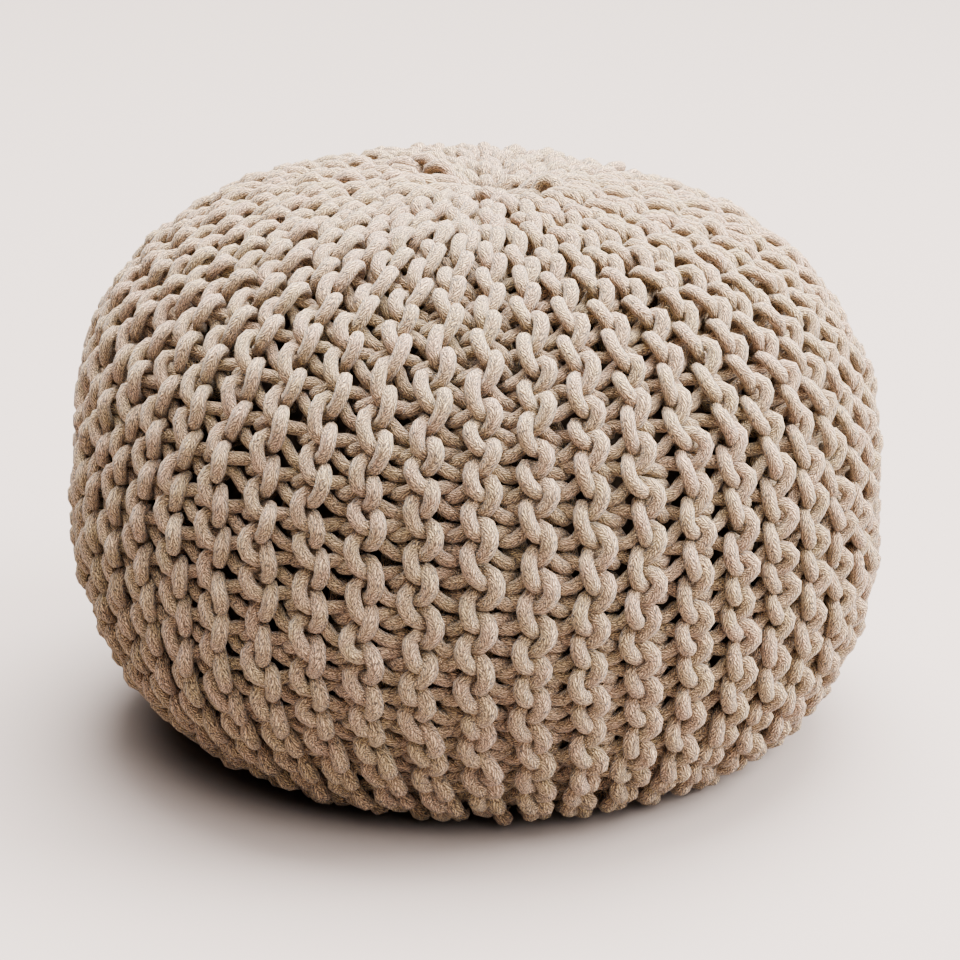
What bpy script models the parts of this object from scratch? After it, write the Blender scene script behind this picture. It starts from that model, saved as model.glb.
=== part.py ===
"""Round floor pouf with a chunky knitted cotton cover.

The cover is garter stitch in thick cord, turned so that its ribs run like the lines of a
melon from the gather on top to the gather underneath. The filled cover is one solid: a
turned form with a flat base, its ribs drawn in between crests, and each crest swung from
side to side a stitch at a time. It leans a little, as a soft filling lets it.
"""

import math

import bmesh
import bpy

# Driving dimensions, in metres; the lean lifts the top to 0.350
RADIUS = 0.250
HEIGHT = 0.348
WIDEST_HEIGHT = 0.130
BASE_RADIUS = 0.160
GATHER_DEPTH = 0.006
GATHER_RADIUS = 0.045

# Fullness of the shoulder above the widest ring and of the side below it: 2 is an ellipse
SHOULDER_FULLNESS = 2.80
LOWER_FULLNESS = 1.60

# The knit: ribs round the body, and stitches along one rib from gather to base edge.
# Sizes across a rib are also held to a share of the rib spacing, which narrows to the gather.
RIBS = 48
STITCHES_TO_BASE = 20
POINTS_A_RIB = 3
CREST_HALF_SHARE = 0.25
RIB_DEPTH = 0.0090
RIB_DEPTH_SHARE = 0.40
STITCH_SWING = 0.0034
SWING_SHARE = 0.11
BASE_FADE_HEIGHT = 0.022

# The lean: how far the top ring tips to the right, and how far both ends move that way
TIP_ANGLE = math.radians(3.4)
TIP_HEIGHT = 0.300
TOP_SHIFT = 0.0098
BASE_SHIFT = 0.0107

CORD_COLOUR = (0.48, 0.38, 0.30, 1.0)
CORD_ROUGHNESS = 0.95

OUTLINE_STEPS = 400
MERGE_DISTANCE = 0.00002


def remove_all_objects():
    for thing in list(bpy.data.objects):
        bpy.data.objects.remove(thing, do_unlink=True)


def ease(share):
    """Smooth step from 0 to 1."""
    share = max(0.0, min(1.0, share))
    return share * share * (3.0 - 2.0 * share)


def outline():
    """Radius and height along the side, from the top centre down to the base edge."""
    points = []
    for step in range(OUTLINE_STEPS + 1):
        turn = 0.5 * math.pi * step / OUTLINE_STEPS
        radius = RADIUS * math.sin(turn) ** (2.0 / SHOULDER_FULLNESS)
        rise = math.cos(turn) ** (2.0 / SHOULDER_FULLNESS)
        points.append((radius, WIDEST_HEIGHT + (HEIGHT - WIDEST_HEIGHT) * rise))
    for step in range(1, OUTLINE_STEPS + 1):
        turn = 0.5 * math.pi * step / OUTLINE_STEPS
        swell = math.cos(turn) ** (2.0 / LOWER_FULLNESS)
        fall = math.sin(turn) ** (2.0 / LOWER_FULLNESS)
        points.append((BASE_RADIUS + (RADIUS - BASE_RADIUS) * swell, WIDEST_HEIGHT * (1.0 - fall)))
    dimpled = []
    for radius, height in points:
        drawn_in = GATHER_DEPTH * (1.0 - ease(radius / GATHER_RADIUS)) if height > WIDEST_HEIGHT else 0.0
        dimpled.append((radius, height - drawn_in))
    return dimpled


def evenly_spaced(points, rows):
    """The same line with one point for each row, an equal length of it apart."""
    lengths = [0.0]
    for before, after in zip(points, points[1:]):
        lengths.append(lengths[-1] + math.dist(before, after))
    spaced = []
    index = 0
    for row in range(rows + 1):
        target = lengths[-1] * row / rows
        while index < len(lengths) - 2 and lengths[index + 1] < target:
            index += 1
        share = (target - lengths[index]) / (lengths[index + 1] - lengths[index])
        start, end = points[index], points[index + 1]
        spaced.append((start[0] + (end[0] - start[0]) * share, start[1] + (end[1] - start[1]) * share))
    return spaced


def side_rows():
    """Two rows for each stitch, then one ring on the flat base and its centre."""
    rows = evenly_spaced(outline(), 2 * STITCHES_TO_BASE)
    rows[0] = (0.0, rows[0][1])
    rows[-1] = (BASE_RADIUS, 0.0)
    return rows + [(0.5 * BASE_RADIUS, 0.0), (0.0, 0.0)]


def turned_body(rows):
    """The line of the side as a wire, turned once round by a Screw modifier."""
    wire = bpy.data.meshes.new("side_line")
    corners = [(radius, 0.0, height) for radius, height in rows]
    wire.from_pydata(corners, [(i, i + 1) for i in range(len(corners) - 1)], [])
    turned = bpy.data.objects.new("side_line", wire)
    bpy.context.scene.collection.objects.link(turned)
    screw = turned.modifiers.new("turn", "SCREW")
    screw.axis = "Z"
    screw.steps = POINTS_A_RIB * RIBS
    screw.render_steps = POINTS_A_RIB * RIBS
    screw.use_merge_vertices = True
    screw.merge_threshold = MERGE_DISTANCE
    evaluated = turned.evaluated_get(bpy.context.evaluated_depsgraph_get())
    mesh = bpy.data.meshes.new_from_object(evaluated)
    bpy.data.objects.remove(turned, do_unlink=True)
    return mesh


def raise_ribs(mesh, rows):
    """Shape each rib from its three points round: two edges of the crest and one valley.

    The crest swings from side to side a stitch at a time, and the valley is drawn in. Both
    fade out towards the flat base.
    """
    body = bmesh.new()
    body.from_mesh(mesh)
    bmesh.ops.remove_doubles(body, verts=body.verts, dist=MERGE_DISTANCE)
    body.normal_update()
    inward = {point: -point.normal for point in body.verts}
    for point in body.verts:
        radius = math.hypot(point.co.x, point.co.y)
        if radius < MERGE_DISTANCE:
            continue
        height = point.co.z
        row = min(range(len(rows)), key=lambda i: math.dist(rows[i], (radius, height)))
        angle = math.atan2(point.co.y, point.co.x)
        rib, place = divmod(round(angle / (2.0 * math.pi) * POINTS_A_RIB * RIBS), POINTS_A_RIB)
        spacing = 2.0 * math.pi * radius / RIBS
        above_base = ease(height / BASE_FADE_HEIGHT)
        side = (-1.0, 1.0, 0.0)[place]
        if side:
            swing = min(STITCH_SWING, SWING_SHARE * spacing) * above_base * (1 if row % 2 else -1)
            along = side * CREST_HALF_SHARE * spacing + swing
        else:
            along = 0.5 * spacing
            depth = min(RIB_DEPTH, RIB_DEPTH_SHARE * spacing) * above_base
            point.co += inward[point] * depth
            radius = math.hypot(point.co.x, point.co.y)
        turned_to = 2.0 * math.pi / RIBS * (rib + along / spacing)
        point.co.x = radius * math.cos(turned_to)
        point.co.y = radius * math.sin(turned_to)
    body.to_mesh(mesh)
    body.free()


def lean(mesh):
    """Tip the rings to the right as they rise, and shift the top and the base that way."""
    for point in mesh.vertices:
        x, y, z = point.co
        tip = TIP_ANGLE * ease(z / TIP_HEIGHT)
        if z > WIDEST_HEIGHT:
            shift = TOP_SHIFT * ((z - WIDEST_HEIGHT) / (HEIGHT - WIDEST_HEIGHT)) ** 2
        else:
            shift = BASE_SHIFT * (1.0 - z / WIDEST_HEIGHT) ** 2
        point.co = (shift + x * math.cos(tip), y, z - x * math.sin(tip))


def stand_on_origin(mesh):
    """Move the body so that the middle of its box stands over the origin."""
    for axis in (0, 1):
        reach = [point.co[axis] for point in mesh.vertices]
        middle = 0.5 * (min(reach) + max(reach))
        for point in mesh.vertices:
            point.co[axis] -= middle


def cord_material():
    material = bpy.data.materials.new("taupe_cotton_cord")
    material.use_nodes = True
    shader = material.node_tree.nodes["Principled BSDF"]
    shader.inputs["Base Color"].default_value = CORD_COLOUR
    shader.inputs["Roughness"].default_value = CORD_ROUGHNESS
    shader.inputs["Metallic"].default_value = 0.0
    return material


def make_pouf():
    rows = side_rows()
    mesh = turned_body(rows)
    raise_ribs(mesh, rows)
    lean(mesh)
    stand_on_origin(mesh)
    mesh.name = "knitted_pouf"
    mesh.materials.clear()
    mesh.materials.append(cord_material())
    mesh.shade_smooth()
    pouf = bpy.data.objects.new("knitted_pouf", mesh)
    parts = bpy.data.collections.new("round_knitted_pouf")
    bpy.context.scene.collection.children.link(parts)
    parts.objects.link(pouf)
    return pouf


def main():
    remove_all_objects()
    make_pouf()


main()
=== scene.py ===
"""Looks of a round floor pouf with a chunky knitted cover.

The cover is garter stitch in thick braided cotton cord, turned so that its ribs run from the
gather on top to the gather underneath. Every stitch is modelled: courses of cord run down the
side, each a row of loops caught in the next course's loops. A front rib shows where the
heads of one course lock with the feet of the next, and the valley beside it shows their legs
crossing to the rib at the back of the fabric. Casing cloth shows through the gaps; its
near-black colour is partly painted shade.
"""

import math

import bpy
import numpy as np
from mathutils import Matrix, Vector


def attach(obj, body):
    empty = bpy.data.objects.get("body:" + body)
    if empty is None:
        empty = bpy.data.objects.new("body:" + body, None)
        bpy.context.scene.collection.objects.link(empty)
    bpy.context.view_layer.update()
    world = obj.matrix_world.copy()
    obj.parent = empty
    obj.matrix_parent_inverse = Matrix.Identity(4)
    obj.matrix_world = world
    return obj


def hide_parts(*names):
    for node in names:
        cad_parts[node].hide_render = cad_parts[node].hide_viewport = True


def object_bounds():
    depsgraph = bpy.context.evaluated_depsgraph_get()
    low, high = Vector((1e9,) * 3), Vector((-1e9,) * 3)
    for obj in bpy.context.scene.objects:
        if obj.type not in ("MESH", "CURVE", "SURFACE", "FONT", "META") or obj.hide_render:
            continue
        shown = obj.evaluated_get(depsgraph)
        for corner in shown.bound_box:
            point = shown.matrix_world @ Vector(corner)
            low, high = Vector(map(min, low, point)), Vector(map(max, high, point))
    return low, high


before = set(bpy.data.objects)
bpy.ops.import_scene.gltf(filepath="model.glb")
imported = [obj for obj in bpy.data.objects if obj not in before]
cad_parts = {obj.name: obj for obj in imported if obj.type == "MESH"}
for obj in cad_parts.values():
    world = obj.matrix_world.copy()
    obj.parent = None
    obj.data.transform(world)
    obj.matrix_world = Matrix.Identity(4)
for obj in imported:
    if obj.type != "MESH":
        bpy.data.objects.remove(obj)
cad_low, cad_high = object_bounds()

# The form, in metres: the solid's, with its shoulder and its lower side a little fuller
RADIUS = 0.5 * (cad_high.y - cad_low.y)
HEIGHT = 0.348
WIDEST_HEIGHT = 0.130
BASE_RADIUS = 0.165
SHOULDER_FULLNESS = 2.87
LOWER_FULLNESS = 1.76
GATHER_DEPTH = 0.006
GATHER_RADIUS = 0.045
TIP_ANGLE = math.radians(3.4)
TIP_HEIGHT = 0.300
TOP_SHIFT = 0.0098
BASE_SHIFT = 0.0107
OUTLINE_STEPS = 400
ROW_STEPS = 900

# The knit, in metres. Each course starts and ends at the gather holes' edges.
RIBS = 48
STITCHES = 29
CORD_DIAMETER = 0.0087
CORD_A_STITCH = 0.097
RIB_SPACING = 2.0 * math.pi * RADIUS / RIBS
STITCH_PITCH = 0.0265
GATHER_HOLE = 0.006
CORD_END_MARGIN = 0.002

# How finely the cord is drawn: points along a stitch and round the cord
POINTS_A_STITCH = 21
SIDES = 8
PANELS = 8

# The loops before they settle: half their width in metres, shares of the pitch, and the lift
# from back to front as waves, each with its times a stitch and its share of the cord's diameter
LOOP_REACH = 0.0150
LOOP_BULGE = 0.16
HEAD_LEAN = 0.20
LIFT_WAVES = ((1, 0.70), (3, 0.257), (5, -0.133))

# How the loops settle, as shares a step: soft cords touch a little inside each other. A cord
# doesn't push its own points away within a reach given in its diameters.
SETTLE_STEPS = 380
PUSH_SHARE = 0.9
TOUCH_SHARE = 0.90
OWN_REACH = 1.3
LENGTH_ROUNDS = 3
LENGTH_SHARE = 0.4
STIFFNESS = 0.03
SPREAD = 0.0027
PRESSED_FLAT = 0.004

# How the cover's tension changes the settled loops, as shares. The cord is pressed wider than
# it is thick, and legs are thinner than heads. Legs bunch in pairs in the valleys: a pair meets
# at this share of a stitch, and another half a stitch on. Stitches are longer, and their cord
# thinner, in the upper half than in the lower. Valleys are deeper than the settled ones
# everywhere, more so in the upper half and where ribs crowd.
CORD_FLATTENS = 1.15
LEG_THINNING = 0.17
LEGS_BUNCH = 0.32
BUNCH_PHASE = 0.34
PITCH_DRIFT = 0.07
STRETCH_THINNING = 0.08
TENSION_DEEPENS = 0.20
STRETCH_DEEPENS = 0.36
CROWD_DEEPENS = 0.7

# Where ribs crowd round a gather, in metres: radii at which every second one left sinks below
# the rest, the share by which these radii scatter and the share over which a rib sinks, how
# deep ribs and the heads on them go, and the drop of the cords' ends inside a radius
SINK_RADII = (0.098, 0.050, 0.026, 0.0125)
SINK_SCATTER = 0.12
SINK_SLOPE = 0.35
SINK_DEPTH = 0.011
HEAD_SINKS = 0.0045
END_DROP = 0.014
END_RADIUS = 0.016

# Unevenness of the whole fabric, in metres along, across and in lift. The waves' ranges are
# radians a metre down a rib, and waves round the form. Their phases, in radians, go a little
# past a full turn.
WAVES = 6
SLOW_WAVES = ((15.0, 70.0), (2, 9))
SHORT_WAVES = ((60.0, 150.0), (12, 34))
PHASES_UP_TO = 7.0
SLOW_SHIFTS = (0.0040, 0.0036, 0.0022)
SHORT_SHIFTS = (0.0034, 0.0034, 0.0020)
CROWD_UNEVENNESS = 0.8
FABRIC_SEED = 7

# Each course's own unevenness: metres, radians of a stitch between draws, points smoothed over
STITCH_UNEVENNESS = 0.0011
DRAW_STEP = 2.0
DRAW_SMOOTHING = 5
COURSE_SEED = 3

# How far the casing lies behind the back of the settled knitting, in metres: its valleys are
# deepened afterwards
CASING_GAP = 0.011


def ease(share):
    """From 0 to 1, starting and ending gently."""
    share = np.clip(share, 0.0, 1.0)
    return share * share * (3.0 - 2.0 * share)


def smooth(values, reach=12):
    """A running average that weighs near neighbours most."""
    padded = np.pad(values, reach, mode="edge")
    window = np.hanning(2 * reach + 1)
    return np.convolve(padded, window / window.sum(), mode="valid")


def outline():
    """Radius and height of the cover's outside, from the top centre to the base centre."""
    turn = 0.5 * math.pi * np.linspace(0.0, 1.0, OUTLINE_STEPS)
    top_radius = RADIUS * np.sin(turn) ** (2.0 / SHOULDER_FULLNESS)
    rise = np.cos(turn).clip(0) ** (2.0 / SHOULDER_FULLNESS)
    top_height = WIDEST_HEIGHT + (HEIGHT - WIDEST_HEIGHT) * rise
    top_height -= GATHER_DEPTH * (1.0 - ease(top_radius / GATHER_RADIUS))
    swell = np.cos(turn).clip(0) ** (2.0 / LOWER_FULLNESS)
    low_radius = BASE_RADIUS + (RADIUS - BASE_RADIUS) * swell
    low_height = WIDEST_HEIGHT * (1.0 - np.sin(turn) ** (2.0 / LOWER_FULLNESS))
    base_radius = np.linspace(BASE_RADIUS, 0.0, OUTLINE_STEPS // 2)
    radius = np.concatenate([top_radius, low_radius[1:], base_radius[1:]])
    height = np.concatenate([top_height, low_height[1:], 0.0 * base_radius[1:]])
    return radius, height


def leaned(places):
    """The soft body's lean: rings tip to the right as they rise, top and base shift that way."""
    x, y, z = places[..., 0], places[..., 1], places[..., 2]
    tip = TIP_ANGLE * ease(z / TIP_HEIGHT)
    above = ((z - WIDEST_HEIGHT) / (HEIGHT - WIDEST_HEIGHT)).clip(0) ** 2
    below = (1.0 - z / WIDEST_HEIGHT).clip(0) ** 2
    shift = TOP_SHIFT * above + BASE_SHIFT * below
    return np.stack([shift + x * np.cos(tip), y, z - x * np.sin(tip)], -1)


class Form:
    """A surface at some depth in the cover: places on it by distance down a rib and angle."""

    def __init__(self, depth):
        radius, height = outline()
        length = np.concatenate([[0.0], np.cumsum(np.hypot(np.diff(radius), np.diff(height)))])
        run = np.linspace(0.0, length[-1], ROW_STEPS)
        radius, height = np.interp(run, length, radius), np.interp(run, length, height)
        down_r, down_z = np.gradient(radius, run), np.gradient(height, run)
        size = np.hypot(down_r, down_z)
        self.out_r, self.out_z = smooth(-down_z / size), smooth(down_r / size)
        self.radius = radius - depth * self.out_r
        self.height = height - depth * self.out_z
        steps = np.hypot(np.diff(self.radius), np.diff(self.height))
        self.run = np.concatenate([[0.0], np.cumsum(steps)])
        self.length = self.run[-1]

    def place(self, run, angle, lift):
        """World places, and the outward direction there."""
        radius = np.interp(run, self.run, self.radius)
        height = np.interp(run, self.run, self.height)
        out_r = np.interp(run, self.run, self.out_r)
        out_z = np.interp(run, self.run, self.out_z)
        size = np.hypot(out_r, out_z)
        out_r, out_z = out_r / size, out_z / size
        radius, height = radius + lift * out_r, height + lift * out_z
        places = np.stack([radius * np.cos(angle), radius * np.sin(angle), height], -1)
        out = np.stack([out_r * np.cos(angle), out_r * np.sin(angle), out_z], -1)
        return leaned(places), out

    def radius_at(self, run):
        """The surface's radius at a distance down a rib."""
        return np.interp(run, self.run, self.radius)


def first_loops():
    """One stitch of a rib's two courses: across, along and lift from the fabric's middle.

    The even course has its head on the front rib, at its right, and the odd one its foot on
    the front rib, at its left. turn runs from 0 at a foot through pi at the head.
    """
    turn = 2.0 * math.pi * np.arange(POINTS_A_STITCH) / POINTS_A_STITCH
    wave = sum(share * np.cos(times * turn) for times, share in LIFT_WAVES)
    loops = []
    for side in (1.0, -1.0):
        along = STITCH_PITCH * (turn / (2.0 * math.pi) + LOOP_BULGE * np.sin(2.0 * turn))
        along += 0.5 * HEAD_LEAN * STITCH_PITCH * side * np.cos(turn)
        across = -LOOP_REACH * np.cos(turn) - side * RIB_SPACING / 4.0
        loops.append(np.stack([across, along, -side * CORD_DIAMETER * wave], -1))
    return np.stack(loops)


def on_course(loops, step):
    """Each point's neighbour one step on or back along its own course, stitch after stitch."""
    moved = np.roll(loops, -step, axis=1)
    moved[:, -1 if step > 0 else 0, 1] += step * STITCH_PITCH
    return moved


def pushed_apart(loops):
    """Half the overlap of each point with the nearby cords, away from them."""
    points = loops.reshape(-1, 3)
    number = np.arange(len(points))
    own = number[:, None] // POINTS_A_STITCH == number[None, :] // POINTS_A_STITCH
    step = CORD_A_STITCH / POINTS_A_STITCH
    bend_reach = int(OWN_REACH * CORD_DIAMETER / step) + 2
    push = np.zeros_like(points)
    touching = np.zeros(len(points))
    for ribs in (-1, 0, 1):
        for stitches in (-2, -1, 0, 1, 2):
            shift = np.array([ribs * RIB_SPACING, stitches * STITCH_PITCH, 0.0])
            apart = points[:, None] - points[None, :] - shift
            distance = np.linalg.norm(apart, axis=-1) + 1e-9
            near = distance < TOUCH_SHARE * CORD_DIAMETER
            if ribs == 0:
                steps = np.abs(number[:, None] - number[None, :] - stitches * POINTS_A_STITCH)
                near &= ~(own & (steps < bend_reach))
            overlap = np.where(near, TOUCH_SHARE * CORD_DIAMETER - distance, 0.0)
            push += (apart * (0.5 * overlap / distance)[..., None]).sum(1)
            touching += near.sum(1)
    return (push / np.maximum(touching, 1)[:, None]).reshape(loops.shape)


def settled_loops():
    """The loops once overlapping cords have pushed apart, as soft cord does in real knitting.

    A small step at a time, each cord also keeps its length, bends evenly and spreads
    sideways, while the fabric is pressed flat between its filling and its own tension.
    """
    loops = first_loops()
    step = CORD_A_STITCH / POINTS_A_STITCH
    middle = np.array([-RIB_SPACING / 4.0, RIB_SPACING / 4.0])
    for _ in range(SETTLE_STEPS):
        loops = loops + PUSH_SHARE * pushed_apart(loops)
        for _ in range(LENGTH_ROUNDS):
            ahead = on_course(loops, 1) - loops
            length = np.linalg.norm(ahead, axis=-1, keepdims=True)
            pull = LENGTH_SHARE * ahead * (1.0 - step / length)
            loops = loops + pull - np.roll(pull, 1, axis=1)
        bend = 0.5 * (on_course(loops, 1) + on_course(loops, -1)) - loops
        bend_beside = 0.5 * (np.roll(bend, 1, axis=1) + np.roll(bend, -1, axis=1))
        loops = loops + STIFFNESS * (bend - bend_beside)
        reach = loops[..., 0] - middle[:, None]
        loops[..., 0] += SPREAD * np.where(np.abs(reach) < LOOP_REACH, reach, 0.0)
        loops[..., 2] *= 1.0 - PRESSED_FLAT
        loops[..., 0] += (middle - loops[..., 0].mean(axis=1))[:, None]
    return loops


def crowding(radius, rib, chance):
    """Where ribs crowd round a gather: how far this one sinks, and how wide it may spread."""
    sink = np.zeros_like(radius)
    spread = np.ones_like(radius)
    for level, reach in enumerate(SINK_RADII):
        reach = reach * chance.uniform(1.0 - SINK_SCATTER, 1.0 + SINK_SCATTER)
        passed = ease((reach - radius) / (SINK_SLOPE * reach))
        if rib % 2 ** (level + 1) == 2 ** level:
            sink = SINK_DEPTH * passed
            break
        spread = spread * (1.0 + passed)
    return sink, spread


def own_unevenness(turn, chance):
    """A course's own small shifts along, across and in lift: no two stitches are alike."""
    knots = np.arange(0.0, turn[-1] + DRAW_STEP, DRAW_STEP)
    shifts = chance.normal(0.0, STITCH_UNEVENNESS, (3, len(knots)))
    return np.stack([smooth(np.interp(turn, knots, shift), DRAW_SMOOTHING) for shift in shifts])


def fabric_unevenness(seed):
    """Slow and short waves over the whole surface, which shift all courses alike."""
    chance = np.random.default_rng(seed)

    def drawn(down, round_form):
        return [(chance.uniform(*down), int(chance.integers(*round_form)),
                 chance.uniform(0, PHASES_UP_TO)) for _ in range(WAVES)]

    waves = [(drawn(*SLOW_WAVES), drawn(*SHORT_WAVES)) for _ in SLOW_SHIFTS]

    def total(group, run, angle):
        return sum(np.sin(k * run + m * angle + p) for k, m, p in group) / len(group)

    def shifts(run, angle):
        return np.stack([slow_most * total(slow, run, angle) + short_most * total(short, run, angle)
                         for (slow, short), slow_most, short_most
                         in zip(waves, SLOW_SHIFTS, SHORT_SHIFTS)])

    return shifts


def course(form, loops, number, fabric_shifts, chance):
    """The centreline of one course of loops, its outward directions and its cord's half width."""
    rib, odd = divmod(number, 2)
    loop = loops[odd]
    turn = 2.0 * math.pi * np.arange(STITCHES * POINTS_A_STITCH) / POINTS_A_STITCH
    stitch = np.repeat(np.arange(STITCHES), POINTS_A_STITCH)
    across = np.tile(loop[:, 0], STITCHES)
    along = np.tile(loop[:, 1] / STITCH_PITCH, STITCHES) + stitch
    lift = np.tile(loop[:, 2], STITCHES)
    bunch = LEGS_BUNCH * np.sin(math.pi * across / RIB_SPACING) ** 2
    along = along - bunch * np.sin(4.0 * math.pi * (along - BUNCH_PHASE)) / (4.0 * math.pi)

    # From shares of a course to distance down the rib and angle round the form
    along = along / STITCHES
    stretch = np.sin(2.0 * math.pi * along)
    along = along + PITCH_DRIFT * (1.0 - np.cos(2.0 * math.pi * along)) / (2.0 * math.pi)
    run = GATHER_HOLE + (form.length - 2.0 * GATHER_HOLE) * along
    angle = -0.5 * math.pi + 2.0 * math.pi / RIBS * (rib + across / RIB_SPACING)
    shift_run, shift_across, shift_lift = fabric_shifts(run, angle) + own_unevenness(turn, chance)
    run = (run + shift_run).clip(CORD_END_MARGIN, form.length - CORD_END_MARGIN)

    # How the ribs crowd here
    radius = form.radius_at(run)
    squeeze = (radius / RADIUS).clip(1e-3, 1.0)
    sink, spread = crowding(radius, rib, chance)
    spread = np.minimum(spread, 1.0 / squeeze)
    crowd = 1.0 - squeeze * spread
    rough = 1.0 + CROWD_UNEVENNESS * (1.0 - squeeze)
    angle += 2.0 * math.pi / RIBS / RIB_SPACING * (across * (spread - 1.0) + rough * shift_across)

    # The cord's width, and how far the loops reach in and out
    crest = loops[..., 2].max()
    half = 0.5 * CORD_DIAMETER * (1.0 - LEG_THINNING * (1.0 - (lift / crest) ** 2))
    half = half * (1.0 - STRETCH_THINNING * stretch)
    deepens = TENSION_DEEPENS + CROWD_DEEPENS * crowd + STRETCH_DEEPENS * stretch.clip(0)
    lift = crest - (crest - lift) * (1.0 + deepens)
    if not odd:
        lift = lift - HEAD_SINKS * crowd * (0.5 - 0.5 * np.cos(turn)) ** 2
    end_drop = END_DROP * (1.0 - ease(radius / END_RADIUS))
    places, out = form.place(run, angle, lift + rough * shift_lift - sink - end_drop)
    return places, out, half


def cord_tube(places, out, half):
    """Rings of points round a centreline, a little wider across the fabric than through it."""
    ahead = np.gradient(places, axis=0)
    ahead /= np.linalg.norm(ahead, axis=1, keepdims=True)
    across = np.cross(out, ahead)
    across /= np.linalg.norm(across, axis=1, keepdims=True)
    up = np.cross(ahead, across)
    around = 2.0 * math.pi * np.arange(SIDES) / SIDES
    wide = CORD_FLATTENS * across[:, None] * np.cos(around)[:, None]
    thick = up[:, None] * np.sin(around)[:, None]
    return places[:, None] + half[:, None, None] * (wide + thick)


def tube_faces(rings):
    """Quads between neighbouring rings, and one face to close each end, all facing out."""
    ring = np.arange(rings - 1)[:, None] * SIDES
    side = np.arange(SIDES)[None, :]
    after = (side + 1) % SIDES
    quads = np.stack([ring + side, ring + after, ring + SIDES + after, ring + SIDES + side], -1)
    first = list(range(SIDES))[::-1]
    last = [(rings - 1) * SIDES + place for place in range(SIDES)]
    return quads.reshape(-1, 4).tolist() + [first, last]


def cord_uvs(length):
    """For each face corner: metres along the cord, and the share of the way round it."""
    side = np.tile(np.arange(SIDES), len(length) - 1) / SIDES
    before, beyond = np.repeat(length[:-1], SIDES), np.repeat(length[1:], SIDES)
    after = side + 1.0 / SIDES
    quads = np.stack([before, side, before, after, beyond, after, beyond, side], -1)
    around = np.arange(SIDES) / SIDES
    first = np.stack([np.full(SIDES, length[0]), around[::-1]], -1)
    last = np.stack([np.full(SIDES, length[-1]), around], -1)
    return np.concatenate([quads.reshape(-1, 2), first, last])


def knit_panel(form, loops, number, fabric_shifts, chance):
    """One panel of the cover: a block of neighbouring courses as one mesh."""
    courses = 2 * RIBS // PANELS
    points, faces, uvs = [], [], []
    base = 0
    for at in range(number * courses, (number + 1) * courses):
        places, out, half = course(form, loops, at, fabric_shifts, chance)
        steps = np.linalg.norm(np.diff(places, axis=0), axis=1)
        points.append(cord_tube(places, out, half).reshape(-1, 3))
        faces += [[corner + base for corner in face] for face in tube_faces(len(places))]
        uvs.append(cord_uvs(np.concatenate([[0.0], np.cumsum(steps)])))
        base += len(points[-1])
    points = np.concatenate(points)
    points[:, 2] = points[:, 2].clip(0.0, None)
    mesh = bpy.data.meshes.new(f"knit_panel_{number + 1}")
    mesh.from_pydata(points.tolist(), [], faces)
    layer = mesh.uv_layers.new(name="cord_run")
    layer.data.foreach_set("uv", np.concatenate(uvs).astype(np.float32).ravel())
    mesh.shade_smooth()
    panel = bpy.data.objects.new(mesh.name, mesh)
    bpy.context.scene.collection.objects.link(panel)
    return panel


def inner_casing(depth):
    """The inner casing as a closed rounded form at this depth behind the cover's outside."""
    form = Form(depth)
    bpy.ops.object.select_all(action="DESELECT")
    bpy.ops.mesh.primitive_uv_sphere_add(segments=96, ring_count=64, radius=1.0)
    casing = bpy.context.object
    casing.name = "inner_casing"
    for point in casing.data.vertices:
        run = form.length * math.acos(max(-1.0, min(1.0, point.co.z))) / math.pi
        angle = math.atan2(point.co.y, point.co.x)
        places, _ = form.place(np.array([run]), np.array([angle]), np.array([0.0]))
        point.co = Vector(places[0])
    casing.data.shade_smooth()
    return casing


def linear(hex_colour):
    """An sRGB hex colour as linear red, green, blue and alpha."""
    values = [int(hex_colour[i:i + 2], 16) / 255.0 for i in (1, 3, 5)]
    return [v / 12.92 if v <= 0.04045 else ((v + 0.055) / 1.055) ** 2.4 for v in values] + [1.0]


def add_node(owner, kind, links=(), sockets=(), **settings):
    """A node with its settings, its socket values and its links from other nodes' outputs."""
    node = owner.node_tree.nodes.new(kind)
    for name, value in settings.items():
        setattr(node, name, value)
    for name, value in sockets:
        node.inputs[name].default_value = value
    for name, output in links:
        owner.node_tree.links.new(output, node.inputs[name])
    return node


def new_material(name):
    """A material that uses nodes, and its shader."""
    material = bpy.data.materials.new(name)
    material.use_nodes = True
    return material, material.node_tree.nodes["Principled BSDF"]


# The cord's braid: sizes in metres. Single yarns are about 0.6 mm, too fine to show at this
# distance, so a line stands for a pair of them.
YARN_PAIR = 0.0013
YARN_ANGLE = math.radians(33.0)
BRAID_COLUMNS = 8
COLUMN_WIDTH = math.pi * CORD_DIAMETER / BRAID_COLUMNS
COLUMN_EDGE = 0.28
EDGE_HEIGHT = 0.25
YARN_WANDER_SIZE = 0.0030303
YARN_WANDER = 2.3

# The cord's other patterns: sizes in metres. Fibre tufts are coarser than single fibres, which
# are too fine to show.
TONE_PATCH = 0.0238095
FLECK_LENGTH = 0.0015
FLECKS_ROUND = 32
FIBRE_TUFT = 0.00090909
FUZZ_TUFT = 0.00066667
FUZZ_SHARE = 0.5
BUMP_HEIGHT = 0.0009

# Values of each noise at which its effect starts and is full, the flecks' strength, and the
# fibres' darkest and lightest, as shares of the yarn's own brightness
TONE_RANGE = (0.36, 0.64)
FLECK_RANGE = (0.535, 0.585)
FLECK_SHARE = 0.95
FIBRE_RANGE = (0.3, 0.7)
FIBRE_SHADES = (0.55, 1.42)

# The cord's yarns, the painted shade in the grooves between them, and the tints that drift over both
CORD_TOP = "#C8AB86"
CORD_GROOVE_SHADE = "#635140"
CORD_STRAW = "#FAF7DF"
CORD_PINK = "#FFF0EA"
CORD_FLECK = "#35281D"


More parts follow.
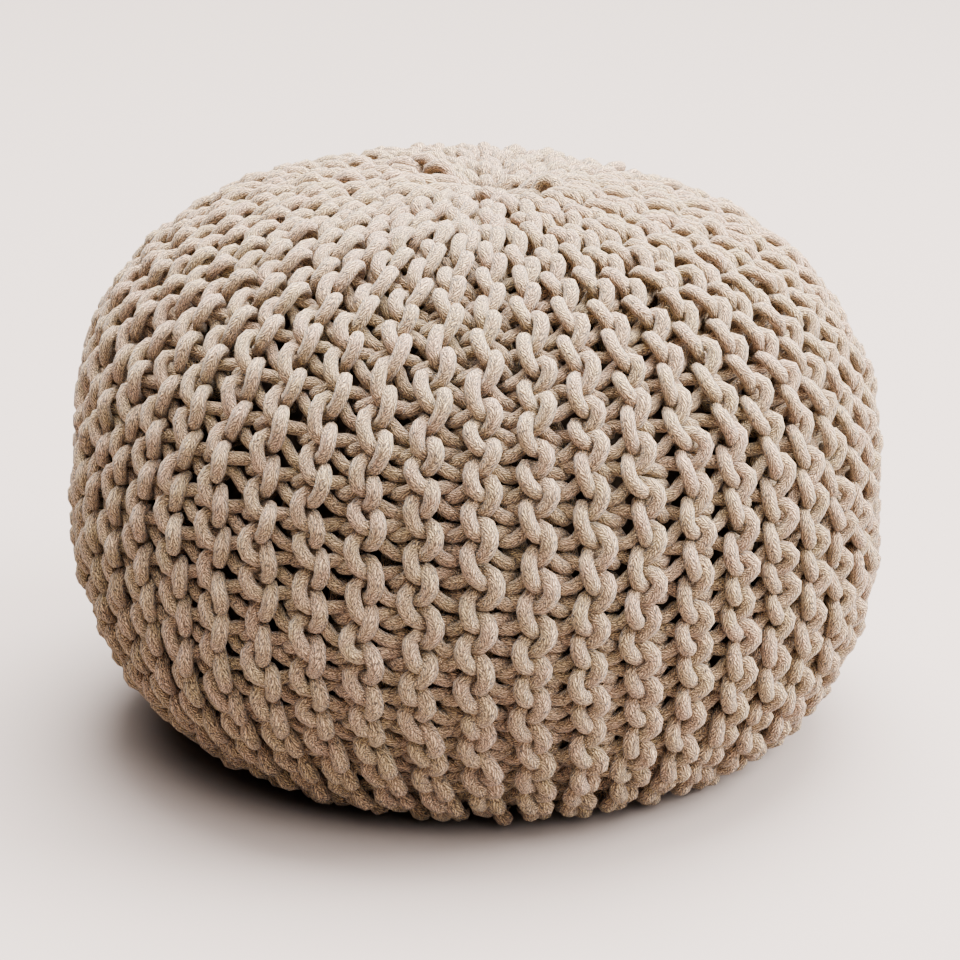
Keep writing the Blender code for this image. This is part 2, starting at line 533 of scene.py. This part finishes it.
def braid_lines(material, place):
    """The braid's height from 0 to 1: slanting yarns that turn back at each column's edge."""
    cord = add_node(material, "ShaderNodeUVMap", uv_map="cord_run")
    parts = add_node(material, "ShaderNodeSeparateXYZ", links=[("Vector", cord.outputs["UV"])])
    run, around = parts.outputs["X"], parts.outputs["Y"]
    columns = add_node(material, "ShaderNodeMath", operation="MULTIPLY",
                       links=[(0, around)], sockets=[(1, BRAID_COLUMNS)])
    fold = add_node(material, "ShaderNodeMath", operation="PINGPONG",
                    links=[(0, columns.outputs[0])], sockets=[(1, 1.0)])
    along = add_node(material, "ShaderNodeMath", operation="MULTIPLY",
                     links=[(0, run)], sockets=[(1, math.sin(YARN_ANGLE) / YARN_PAIR)])
    slant = add_node(material, "ShaderNodeMath", operation="MULTIPLY_ADD",
                     links=[(0, fold.outputs[0]), (2, along.outputs[0])],
                     sockets=[(1, COLUMN_WIDTH * math.cos(YARN_ANGLE) / YARN_PAIR)])
    uneven = add_node(material, "ShaderNodeTexNoise", links=[("Vector", place)],
                      sockets=[("Scale", 1.0 / YARN_WANDER_SIZE), ("Detail", 3.0)])
    count = add_node(material, "ShaderNodeMath", operation="MULTIPLY_ADD",
                     links=[(0, uneven.outputs["Fac"]), (2, slant.outputs[0])],
                     sockets=[(1, YARN_WANDER)])
    turn = add_node(material, "ShaderNodeMath", operation="MULTIPLY",
                    links=[(0, count.outputs[0])], sockets=[(1, 2.0 * math.pi)])
    wave = add_node(material, "ShaderNodeMath", operation="SINE", links=[(0, turn.outputs[0])])
    yarns = add_node(material, "ShaderNodeMath", operation="MULTIPLY_ADD",
                     links=[(0, wave.outputs[0])], sockets=[(1, 0.5), (2, 0.5)])
    middle = add_node(material, "ShaderNodeMath", operation="PINGPONG",
                      links=[(0, columns.outputs[0])], sockets=[(1, 0.5)])
    swell = add_node(material, "ShaderNodeMapRange", links=[("Value", middle.outputs[0])],
                     sockets=[("From Max", COLUMN_EDGE), ("To Min", EDGE_HEIGHT), ("To Max", 1.0)],
                     interpolation_type="SMOOTHSTEP")
    braid = add_node(material, "ShaderNodeMath", operation="MULTIPLY",
                     links=[(0, yarns.outputs[0]), (1, swell.outputs[0])])
    return braid.outputs[0], run, around


def fleck_share(material, run, around):
    """Where dark flecks lie, from 0 to 1: short strokes along the cord."""
    fleck_run = add_node(material, "ShaderNodeMath", operation="DIVIDE",
                         links=[(0, run)], sockets=[(1, FLECK_LENGTH)])
    fleck_turn = add_node(material, "ShaderNodeMath", operation="MULTIPLY",
                          links=[(0, around)], sockets=[(1, FLECKS_ROUND)])
    fleck_at = add_node(material, "ShaderNodeCombineXYZ",
                        links=[("X", fleck_run.outputs[0]), ("Y", fleck_turn.outputs[0])])
    fleck = add_node(material, "ShaderNodeTexNoise", links=[("Vector", fleck_at.outputs[0])],
                     sockets=[("Scale", 1.0), ("Detail", 1.0)])
    share = add_node(material, "ShaderNodeMapRange", links=[("Value", fleck.outputs["Fac"])],
                     sockets=[("From Min", FLECK_RANGE[0]), ("From Max", FLECK_RANGE[1]),
                              ("To Max", FLECK_SHARE)])
    return share.outputs[0]


def braided_cotton_cord():
    """Braided cotton cord: undyed taupe yarns plaited round a core, soft and matt.

    The eye gets short slanting yarn lines that turn back and forth, painted shade in the
    grooves and dark flecks between them, a slow drift from pinkish to straw colour, and a pale
    fuzz at the cord's edges.
    """
    material, shader = new_material("braided_cotton_cord")
    place = add_node(material, "ShaderNodeTexCoord").outputs["Object"]
    braid, run, around = braid_lines(material, place)
    # Painted shade: the colour darkens from the yarns' crests into the grooves between them and at
    # the braid columns' edges
    shade = add_node(material, "ShaderNodeMix", data_type="RGBA", links=[(0, braid)],
                     sockets=[(6, linear(CORD_GROOVE_SHADE)), (7, linear(CORD_TOP))])
    drift = add_node(material, "ShaderNodeTexNoise", links=[("Vector", place)],
                     sockets=[("Scale", 1.0 / TONE_PATCH), ("Detail", 3.0), ("Roughness", 0.6)])
    drift_share = add_node(material, "ShaderNodeMapRange", links=[("Value", drift.outputs["Fac"])],
                           sockets=[("From Min", TONE_RANGE[0]), ("From Max", TONE_RANGE[1])])
    tint = add_node(material, "ShaderNodeMix", data_type="RGBA", links=[(0, drift_share.outputs[0])],
                    sockets=[(6, linear(CORD_STRAW)), (7, linear(CORD_PINK))])
    toned = add_node(material, "ShaderNodeMix", data_type="RGBA", blend_type="MULTIPLY",
                     links=[(6, shade.outputs[2]), (7, tint.outputs[2])], sockets=[(0, 1.0)])
    fibres = add_node(material, "ShaderNodeTexNoise", links=[("Vector", place)],
                      sockets=[("Scale", 1.0 / FIBRE_TUFT), ("Detail", 2.0)])
    grain = add_node(material, "ShaderNodeMapRange", links=[("Value", fibres.outputs["Fac"])],
                     sockets=[("From Min", FIBRE_RANGE[0]), ("From Max", FIBRE_RANGE[1]),
                              ("To Min", FIBRE_SHADES[0]), ("To Max", FIBRE_SHADES[1])])
    grained = add_node(material, "ShaderNodeHueSaturation",
                       links=[("Color", toned.outputs[2]), ("Value", grain.outputs[0])])
    flecked = add_node(material, "ShaderNodeMix", data_type="RGBA",
                       links=[(0, fleck_share(material, run, around)), (6, grained.outputs[0])],
                       sockets=[(7, linear(CORD_FLECK))])
    material.node_tree.links.new(flecked.outputs[2], shader.inputs["Base Color"])
    fuzz = add_node(material, "ShaderNodeTexNoise", links=[("Vector", place)],
                    sockets=[("Scale", 1.0 / FUZZ_TUFT), ("Detail", 2.0)])
    height = add_node(material, "ShaderNodeMath", operation="MULTIPLY_ADD",
                      links=[(0, fuzz.outputs["Fac"]), (2, braid)], sockets=[(1, FUZZ_SHARE)])
    bump = add_node(material, "ShaderNodeBump", links=[("Height", height.outputs[0])],
                    sockets=[("Strength", 0.9), ("Distance", BUMP_HEIGHT)])
    material.node_tree.links.new(bump.outputs["Normal"], shader.inputs["Normal"])
    shader.inputs["Roughness"].default_value = 0.95
    shader.inputs["Sheen Weight"].default_value = 0.15
    shader.inputs["Sheen Roughness"].default_value = 0.5
    return material


# The casing's threads are too fine to show, so its mottle stands for small bunches of them
THREAD_BUNCH = 0.0014286
# Casing colours: a dark brown cloth made near black, partly painted shade for the knit's deep gaps
CASING_SHADED_DARK = "#2E2319"
CASING_SHADED_LIGHT = "#463626"


def casing_cloth():
    """Plain woven casing cloth, seen only as dark depth behind the knit's gaps: its near-black colour
    is partly painted shade for those gaps.
    """
    material, shader = new_material("casing_cloth")
    place = add_node(material, "ShaderNodeTexCoord").outputs["Object"]
    mottle = add_node(material, "ShaderNodeTexNoise", links=[("Vector", place)],
                      sockets=[("Scale", 1.0 / THREAD_BUNCH), ("Detail", 2.0)])
    colour = add_node(material, "ShaderNodeMix", data_type="RGBA", links=[(0, mottle.outputs["Fac"])],
                      sockets=[(6, linear(CASING_SHADED_DARK)), (7, linear(CASING_SHADED_LIGHT))])
    material.node_tree.links.new(colour.outputs[2], shader.inputs["Base Color"])
    shader.inputs["Roughness"].default_value = 0.95
    return material


# The camera at the photograph's angle. The target's place and the focal length are in pixels
# of the photograph, which is square.
CAMERA_ELEVATION = math.radians(18.0)
CAMERA_DISTANCE = 2.0
CAMERA_TARGET = (0.0, 0.0, 0.175)
PHOTO_SIZE = 960.0
FOCAL_LENGTH = 3262.6
TARGET_RIGHT = 476.5
TARGET_DOWN = 446.0
SENSOR_WIDTH = 36.0

# Softboxes: name, metres across, watts, and where they stand, all aimed at the pouf
SOFTBOXES = (
    ("key_softbox", 3.6, 1500.0, (0.4, 0.9, 4.3)),
    ("side_softbox", 1.8, 460.0, (2.9, -0.2, 2.3)),
)
SOFTBOX_AIM = (0.0, 0.0, 0.2)

# The studio: a wide ceiling of light overhead and a little to the right, and dim walls.
# It starts and is full at these cosines of the angle from the ceiling's middle.
CEILING_TOWARDS = (0.48, 0.0, 0.877)
CEILING_STARTS = 0.42
CEILING_FULL = 0.85
CEILING_BRIGHTNESS = 14.5
WALL_BRIGHTNESS = 0.03
STUDIO_WHITE = "#F6F2F0"

FLOOR_SIZE = 40.0
FLOOR_COLOUR = "#80756F"


def make_camera():
    """The camera, aimed at the pouf and shifted so that it stands where the photograph has it."""
    data = bpy.data.cameras.new("camera")
    camera = bpy.data.objects.new("camera", data)
    bpy.context.scene.collection.objects.link(camera)
    back = Vector((0.0, -math.cos(CAMERA_ELEVATION), math.sin(CAMERA_ELEVATION)))
    camera.location = Vector(CAMERA_TARGET) + back * CAMERA_DISTANCE
    camera.rotation_mode = "QUATERNION"
    camera.rotation_quaternion = (-back).to_track_quat("-Z", "Y")
    data.sensor_width = SENSOR_WIDTH
    data.lens = SENSOR_WIDTH * FOCAL_LENGTH / PHOTO_SIZE
    data.shift_x = (0.5 * PHOTO_SIZE - TARGET_RIGHT) / PHOTO_SIZE
    data.shift_y = -(0.5 * PHOTO_SIZE - TARGET_DOWN) / PHOTO_SIZE
    bpy.context.scene.camera = camera


def make_studio():
    """The ceiling of light and the dim walls, as the world."""
    world = bpy.data.worlds.new("studio")
    world.use_nodes = True
    background = world.node_tree.nodes["Background"]
    background.inputs["Color"].default_value = linear(STUDIO_WHITE)
    place = add_node(world, "ShaderNodeTexCoord")
    towards = add_node(world, "ShaderNodeVectorMath", operation="DOT_PRODUCT",
                       links=[(0, place.outputs["Generated"])], sockets=[(1, CEILING_TOWARDS)])
    strength = add_node(world, "ShaderNodeMapRange", links=[("Value", towards.outputs["Value"])],
                        sockets=[("From Min", CEILING_STARTS), ("From Max", CEILING_FULL),
                                 ("To Min", WALL_BRIGHTNESS), ("To Max", CEILING_BRIGHTNESS)],
                        interpolation_type="SMOOTHSTEP")
    world.node_tree.links.new(strength.outputs[0], background.inputs["Strength"])
    bpy.context.scene.world = world


def make_softboxes():
    """The round softboxes, each aimed at the pouf."""
    for name, size, watts, place in SOFTBOXES:
        light = bpy.data.lights.new(name, "AREA")
        light.shape = "DISK"
        light.size = size
        light.energy = watts
        lamp = bpy.data.objects.new(name, light)
        bpy.context.scene.collection.objects.link(lamp)
        lamp.location = place
        lamp.rotation_mode = "QUATERNION"
        lamp.rotation_quaternion = (Vector(SOFTBOX_AIM) - lamp.location).to_track_quat("-Z", "Y")


def make_floor():
    """The plain pale floor, which isn't part of the pouf."""
    bpy.ops.object.select_all(action="DESELECT")
    bpy.ops.mesh.primitive_plane_add(size=FLOOR_SIZE)
    floor = bpy.context.object
    floor.name = "floor"
    material, shader = new_material("pale_floor")
    shader.inputs["Base Color"].default_value = linear(FLOOR_COLOUR)
    shader.inputs["Roughness"].default_value = 0.8
    floor.data.materials.append(material)


def main():
    make_camera()
    make_studio()
    make_softboxes()
    make_floor()
    loops = settled_loops()
    crest = loops[..., 2].max() + 0.5 * CORD_DIAMETER
    form = Form(crest)
    fabric_shifts = fabric_unevenness(FABRIC_SEED)
    chance = np.random.default_rng(COURSE_SEED)
    cord = braided_cotton_cord()
    panels = []
    for number in range(PANELS):
        panel = knit_panel(form, loops, number, fabric_shifts, chance)
        panel.data.materials.append(cord)
        panels.append(panel)
    casing = inner_casing(2.0 * crest + CASING_GAP)
    casing.data.materials.append(casing_cloth())
    for piece in panels + [casing]:
        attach(piece, "root")
        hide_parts("knitted_pouf")


main()
